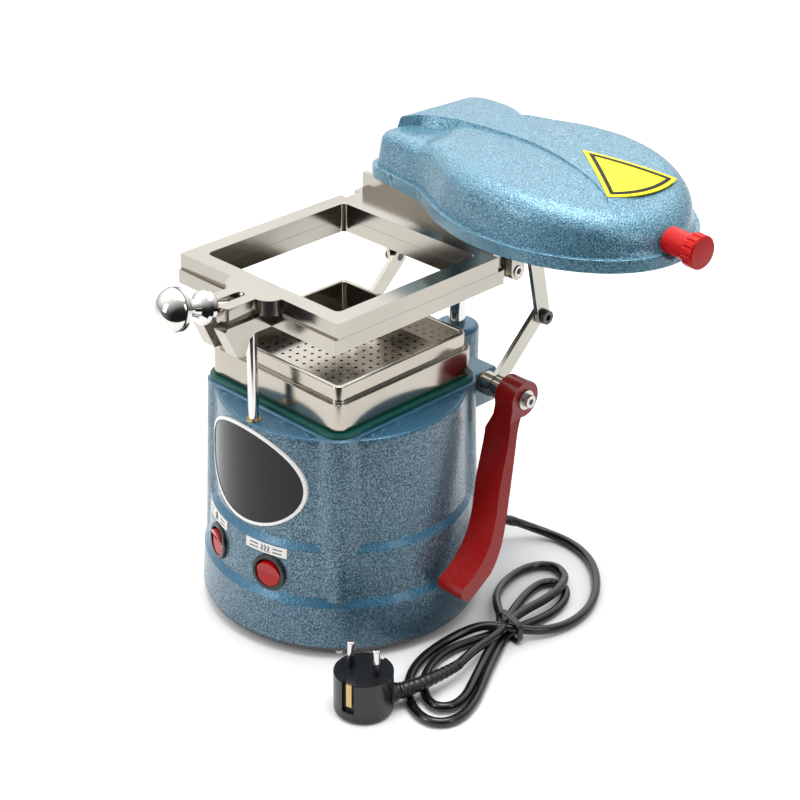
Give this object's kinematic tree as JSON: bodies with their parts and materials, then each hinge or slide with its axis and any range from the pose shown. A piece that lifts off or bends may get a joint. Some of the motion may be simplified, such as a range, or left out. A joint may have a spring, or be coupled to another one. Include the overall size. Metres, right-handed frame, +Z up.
{
  "type": "dental vacuum former",
  "caption": "Benchtop vacuum former for dental sheets: cast motor base, tray, lever-raised clamp frames and a swinging heater head.",
  "frame": {"origin": "on the table under the base's axis, at the rubber feet's lower face", "axes": "+X to the operator's right, +Y to the rear post, +Z up"},
  "size_m": [0.3195, 0.3357, 0.3233],
  "materials": {
    "hammertone": "hammertone blue enamel",
    "satin_nickel": "satin",
    "tray_metal": "satin",
    "bright_chrome": "polished",
    "dark_steel": "satin",
    "bronze": "sintered",
    "lever_red": "gloss",
    "knob_red": "satin",
    "rocker_red": "gloss",
    "black_plastic": "satin",
    "badge_black": "gloss",
    "badge_silver": "satin",
    "label_white": "printed",
    "label_yellow": "printed",
    "green_rubber": "matt",
    "black_rubber": "matt",
    "cord_black": "gloss",
    "reflector": "bright",
    "element": "heat tinted",
    "steatite": "matt"
  },
  "bodies": {
    "root": {"body_casting": "hammertone", "base_plate": "dark_steel", "base_screws": "bright_chrome", "rubber_feet": "black_rubber", "motor_shroud": "dark_steel", "motor_screws": "dark_steel", "motor_housing": "dark_steel", "tray_gasket": "green_rubber", "vacuum_tray": "tray_metal", "perforated_plate": "tray_metal", "badge_plate": "badge_black", "badge_rim": "badge_silver", "switch_label_left": "label_white", "switch_label_right": "label_white", "switch_bezel_left": "black_plastic", "switch_bezel_right": "black_plastic", "shaft_bushes": "bronze", "guide_post": "bright_chrome", "post_collar": "satin_nickel", "pivot_nut": "dark_steel", "rod_bush": "bronze", "power_cord": "cord_black", "cord_gland": "black_plastic", "cord_hank": "cord_black", "cord_tie": "black_plastic", "plug_body": "black_plastic", "plug_pins": "bright_chrome", "plug_clips": "bronze"},
    "carriage_body": {"carriage": "satin_nickel", "carriage_bush": "bronze", "lower_frame": "satin_nickel", "frame_screws": "dark_steel", "hinge_screws": "bright_chrome", "front_guide_rod": "bright_chrome"},
    "lever_body": {"lever_shaft": "bright_chrome", "crank_left": "satin_nickel", "crank_right": "satin_nickel", "elbow_pins": "dark_steel", "lever_collar": "satin_nickel", "handle_lever": "lever_red", "lever_screw": "bright_chrome"},
    "link_body": {"upper_link_left": "satin_nickel", "upper_link_right": "satin_nickel", "top_pins": "dark_steel"},
    "upper_frame_body": {"upper_frame": "satin_nickel", "clamp_pin": "bright_chrome"},
    "clamp_bolt_body": {"clamp_bolt": "bright_chrome"},
    "clamp_knob_body": {"clamp_hub": "bright_chrome", "clamp_ball": "bright_chrome"},
    "head_body": {"head_base": "hammertone", "head_shell": "hammertone", "head_decal": "label_yellow", "heat_reflector": "reflector", "heater_element": "element", "ceramic_holders": "steatite", "head_knob": "knob_red"},
    "rocker_left_body": {"switch_rocker_left": "rocker_red"},
    "rocker_right_body": {"switch_rocker_right": "rocker_red"},
    "rotor_body": {"motor_armature": "dark_steel", "impeller": "reflector"}
  },
  "joints": [
    {"name": "frame_lift", "type": "slide", "parent": "root", "child": "carriage_body", "axis": [0, 0, 1], "range_m": [-0.0455, 0]},
    {"name": "lever_turn", "type": "hinge", "parent": "root", "child": "lever_body", "pos_m": [0, 0.0795, 0.1525], "axis": [1, 0, 0], "range_deg": [-42.2, 0.1]},
    {"name": "link_turn", "type": "hinge", "parent": "lever_body", "child": "link_body", "pos_m": [0, 0.1225, 0.1925], "axis": [1, 0, 0], "range_deg": [-0.1, 60]},
    {"name": "upper_frame_open", "type": "hinge", "parent": "carriage_body", "child": "upper_frame_body", "pos_m": [0, 0.091, 0.237], "axis": [-1, 0, 0], "range_deg": [0, 20]},
    {"name": "clamp_bolt_swing", "type": "hinge", "parent": "upper_frame_body", "child": "clamp_bolt_body", "pos_m": [0, -0.092, 0.2465], "axis": [-1, 0, 0], "range_deg": [0, 60]},
    {"name": "clamp_knob_spin", "type": "hinge", "parent": "clamp_bolt_body", "child": "clamp_knob_body", "pos_m": [0, -0.092, 0.2465], "axis": [0, -0.9664, 0.2571], "continuous": true},
    {"name": "head_swing", "type": "hinge", "parent": "root", "child": "head_body", "pos_m": [0, 0.1135, 0.279], "axis": [0, 0, 1], "range_deg": [-85, 30]},
    {"name": "rocker_left", "type": "hinge", "parent": "root", "child": "rocker_left_body", "pos_m": [-0.02922, -0.08439, 0.05685], "axis": [0.9449, -0.3272, 0], "range_deg": [-18, 0]},
    {"name": "rocker_right", "type": "hinge", "parent": "root", "child": "rocker_right_body", "pos_m": [0.02236, -0.08646, 0.05685], "axis": [0.9681, 0.2504, 0], "range_deg": [-18, 0]},
    {"name": "impeller_spin", "type": "hinge", "parent": "root", "child": "rotor_body", "pos_m": [0, 0, 0.1], "axis": [0, 0, 1], "continuous": true}
  ],
  "couplings": [
    {"joint": "lever_turn", "follows": "frame_lift", "rad_per_m": 16.13},
    {"joint": "link_turn", "follows": "frame_lift", "rad_per_m": -22.94}
  ]
}
